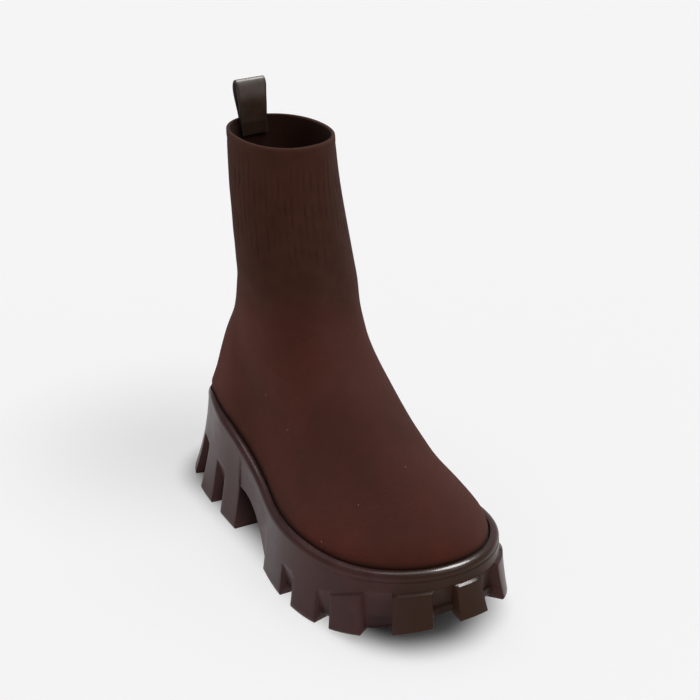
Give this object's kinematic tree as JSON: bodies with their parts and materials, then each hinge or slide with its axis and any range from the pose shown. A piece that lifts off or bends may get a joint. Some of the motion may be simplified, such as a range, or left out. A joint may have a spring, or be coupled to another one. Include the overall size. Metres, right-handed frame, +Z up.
{
  "type": "sock boot",
  "caption": "Knitted slip-on ankle sock boot with a chunky moulded lug sole, high heel block, arch tunnel and a folded pull loop at the back of the collar; right foot.",
  "frame": {"origin": "centre of the bounding box in plan, on the ground plane the sole stands on", "axes": "+Z up; the toe points towards -Y; the lateral (little toe) side of this right boot is towards -X"},
  "size_m": [0.1137, 0.2782, 0.2551],
  "materials": {
    "knit": "dark brown stretch knit, matt, ribbed round the shaft and plain over the foot",
    "sole_rubber": "dark brown moulded rubber, smooth, semi-gloss",
    "footbed_fabric": "dark brown textile footbed, matt",
    "strap_leather": "grey-brown smooth synthetic leather with a low sheen"
  },
  "bodies": {
    "root": {"upper": "knit", "sole": "sole_rubber", "insole": "footbed_fabric", "pull_loop": "strap_leather"}
  },
  "joints": []
}
